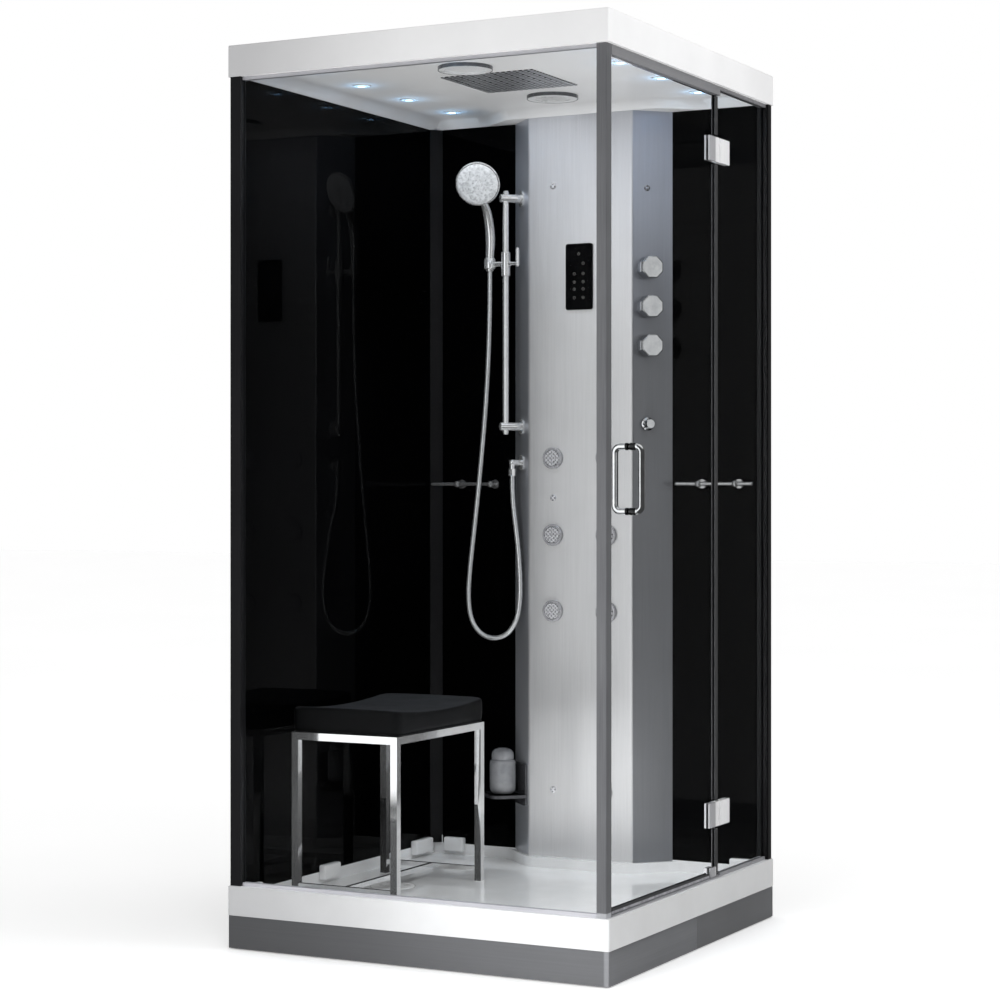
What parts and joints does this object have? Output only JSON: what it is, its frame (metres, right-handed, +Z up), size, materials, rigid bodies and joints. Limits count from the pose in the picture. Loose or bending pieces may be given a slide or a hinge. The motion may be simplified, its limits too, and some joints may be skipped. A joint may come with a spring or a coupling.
{
  "type": "steam shower cabin",
  "caption": "Square free-standing steam shower cabin with tray, glass door, mirror-black walls, control column, hand shower, body jets, lit canopy and stool.",
  "frame": {"origin": "centre of the square footprint at floor level, under the middle levelling foot", "axes": "+X to the right along the front, towards the door side; +Y from the front to the back wall; +Z up"},
  "size_m": [1.0188, 1, 2.15],
  "materials": {
    "white_acrylic": "gloss white moulded acrylic",
    "grey_skirt": "satin grey coated steel sheet",
    "galvanised_frame": "zinc-plated steel tube",
    "black_glass": "back-painted black tempered glass",
    "clear_glass": "clear tempered glass",
    "dark_profile": "dark anodised extrusion",
    "satin_aluminium": "satin silver anodised extrusion",
    "column_silver": "fine brushed silver sheet",
    "chrome": "polished chrome plate",
    "white_plastic": "gloss white plastic",
    "black_plastic": "gloss black plastic",
    "grey_plastic": "matte grey plastic",
    "lamp_white": "frosted lamp lens in a satin ring",
    "brass_pipe": "bright brass",
    "steam_case": "brushed stainless case",
    "hose_metal": "interlocked chrome hose",
    "dark_glass_shelf": "tinted glass in a chrome trim",
    "seal_rubber": "dark flexible seal",
    "seat_foam": "moulded charcoal foam",
    "spray_grey": "grey plate with soft nozzles",
    "bottle": "smoky translucent plastic",
    "brushed_pin": "ground steel pin"
  },
  "bodies": {
    "cabin": {"levelling_feet": "galvanised_frame", "base_frame": "galvanised_frame", "skirt_panels": "grey_skirt", "shower_tray": "white_acrylic", "waste_trap": "grey_plastic", "left_wall_panel": "black_glass", "back_wall_panels": "black_glass", "wall_profiles": "dark_profile", "corner_post": "satin_aluminium", "front_glass": "clear_glass", "side_glass": "clear_glass", "frame_rails": "dark_profile", "canopy_shell": "white_acrylic", "ceiling_panel": "white_acrylic", "rain_head": "chrome", "ceiling_speaker": "white_plastic", "fan_cover": "white_plastic", "fan_housing": "grey_plastic", "ceiling_lights": "lamp_white", "control_box": "grey_plastic", "column_panel": "column_silver", "column_back": "galvanised_frame", "control_panel": "black_plastic", "jet_bezels": "chrome", "plumbing": "brass_pipe", "screw_caps": "chrome", "slide_rail": "chrome", "rail_brackets": "chrome", "hose_outlet": "chrome", "shower_hose": "hose_metal", "corner_shelf": "dark_glass_shelf", "towel_bars": "chrome", "steam_generator": "steam_case", "steam_outlet": "chrome", "hinge_fixed": "chrome", "hinge_pins": "brushed_pin"},
    "drain_lid": {"drain_cover": "white_plastic"},
    "extractor_fan": {"fan_impeller": "black_plastic"},
    "temperature_control": {"temperature_knob": "chrome"},
    "flow_control": {"flow_knob": "chrome"},
    "diverter_control": {"diverter_knob": "chrome"},
    "jet_control": {"jet_valve_knob": "chrome"},
    "rail_slider": {"slider": "chrome"},
    "lock_lever": {"slider_lever": "chrome"},
    "handset": {"hand_cradle": "chrome", "hand_shower": "chrome", "spray_face": "spray_grey"},
    "door": {"door_glass": "clear_glass", "door_handle": "chrome", "hinge_door": "chrome", "door_seals": "seal_rubber"},
    "stool": {"stool_seat": "seat_foam", "stool_frame": "chrome"},
    "bottle_body": {"soap_bottle": "bottle"},
    "jet_upper_left_body": {"jet_upper_left": "chrome"},
    "jet_upper_right_body": {"jet_upper_right": "chrome"},
    "jet_middle_left_body": {"jet_middle_left": "chrome"},
    "jet_middle_right_body": {"jet_middle_right": "chrome"},
    "jet_lower_left_body": {"jet_lower_left": "chrome"},
    "jet_lower_right_body": {"jet_lower_right": "chrome"}
  },
  "joints": [
    {"name": "door_hinge", "type": "hinge", "parent": "cabin", "child": "door", "pos_m": [0.48, 0.165, 1.112], "axis": [0, 0, 1], "range_deg": [0, 90]},
    {"name": "drain_cover_lift", "type": "slide", "parent": "cabin", "child": "drain_lid", "axis": [0, 0, 1], "range_m": [0, 0.018]},
    {"name": "fan_spin", "type": "hinge", "parent": "cabin", "child": "extractor_fan", "pos_m": [0, 0.235, 2.116], "axis": [0, 0, 1], "continuous": true},
    {"name": "jet_upper_left_tilt", "type": "hinge", "parent": "cabin", "child": "jet_upper_left_body", "pos_m": [-0.077, 0.394, 1.176], "axis": [1, 0, 0], "range_deg": [-12, 12]},
    {"name": "jet_upper_right_tilt", "type": "hinge", "parent": "cabin", "child": "jet_upper_right_body", "pos_m": [0.077, 0.394, 1.176], "axis": [1, 0, 0], "range_deg": [-12, 12]},
    {"name": "jet_middle_left_tilt", "type": "hinge", "parent": "cabin", "child": "jet_middle_left_body", "pos_m": [-0.077, 0.394, 0.974], "axis": [1, 0, 0], "range_deg": [-12, 12]},
    {"name": "jet_middle_right_tilt", "type": "hinge", "parent": "cabin", "child": "jet_middle_right_body", "pos_m": [0.077, 0.394, 0.974], "axis": [1, 0, 0], "range_deg": [-12, 12]},
    {"name": "jet_lower_left_tilt", "type": "hinge", "parent": "cabin", "child": "jet_lower_left_body", "pos_m": [-0.077, 0.394, 0.774], "axis": [1, 0, 0], "range_deg": [-12, 12]},
    {"name": "jet_lower_right_tilt", "type": "hinge", "parent": "cabin", "child": "jet_lower_right_body", "pos_m": [0.077, 0.394, 0.774], "axis": [1, 0, 0], "range_deg": [-12, 12]},
    {"name": "temperature_control_turn", "type": "hinge", "parent": "cabin", "child": "temperature_control", "pos_m": [0.179, 0.425, 1.667], "axis": [0.7071, -0.7071, 0], "range_deg": [-135, 135]},
    {"name": "flow_control_turn", "type": "hinge", "parent": "cabin", "child": "flow_control", "pos_m": [0.179, 0.425, 1.566], "axis": [0.7071, -0.7071, 0], "range_deg": [0, 90]},
    {"name": "diverter_control_turn", "type": "hinge", "parent": "cabin", "child": "diverter_control", "pos_m": [0.179, 0.425, 1.465], "axis": [0.7071, -0.7071, 0], "range_deg": [-90, 90]},
    {"name": "jet_control_turn", "type": "hinge", "parent": "cabin", "child": "jet_control", "pos_m": [0.179, 0.425, 1.263], "axis": [0.7071, -0.7071, 0], "range_deg": [0, 90]},
    {"name": "slider_travel", "type": "slide", "parent": "cabin", "child": "rail_slider", "axis": [0, 0, 1], "range_m": [-0.36, 0.09], "deforming": ["shower_hose"]},
    {"name": "lock_lever_turn", "type": "hinge", "parent": "rail_slider", "child": "lock_lever", "pos_m": [-0.206, 0.4035, 1.694], "axis": [1, 0, 0], "range_deg": [0, 90]},
    {"name": "handset_tilt", "type": "hinge", "parent": "rail_slider", "child": "handset", "pos_m": [-0.2525, 0.4035, 1.694], "axis": [1, 0, 0], "range_deg": [-5, 12], "deforming": ["shower_hose"]},
    {"name": "stool_lift", "type": "slide", "parent": "cabin", "child": "stool", "axis": [0, 0, 1], "range_m": [0, 0.25]},
    {"name": "bottle_lift", "type": "slide", "parent": "cabin", "child": "bottle_body", "axis": [0, 0, 1], "range_m": [0, 0.12]}
  ]
}
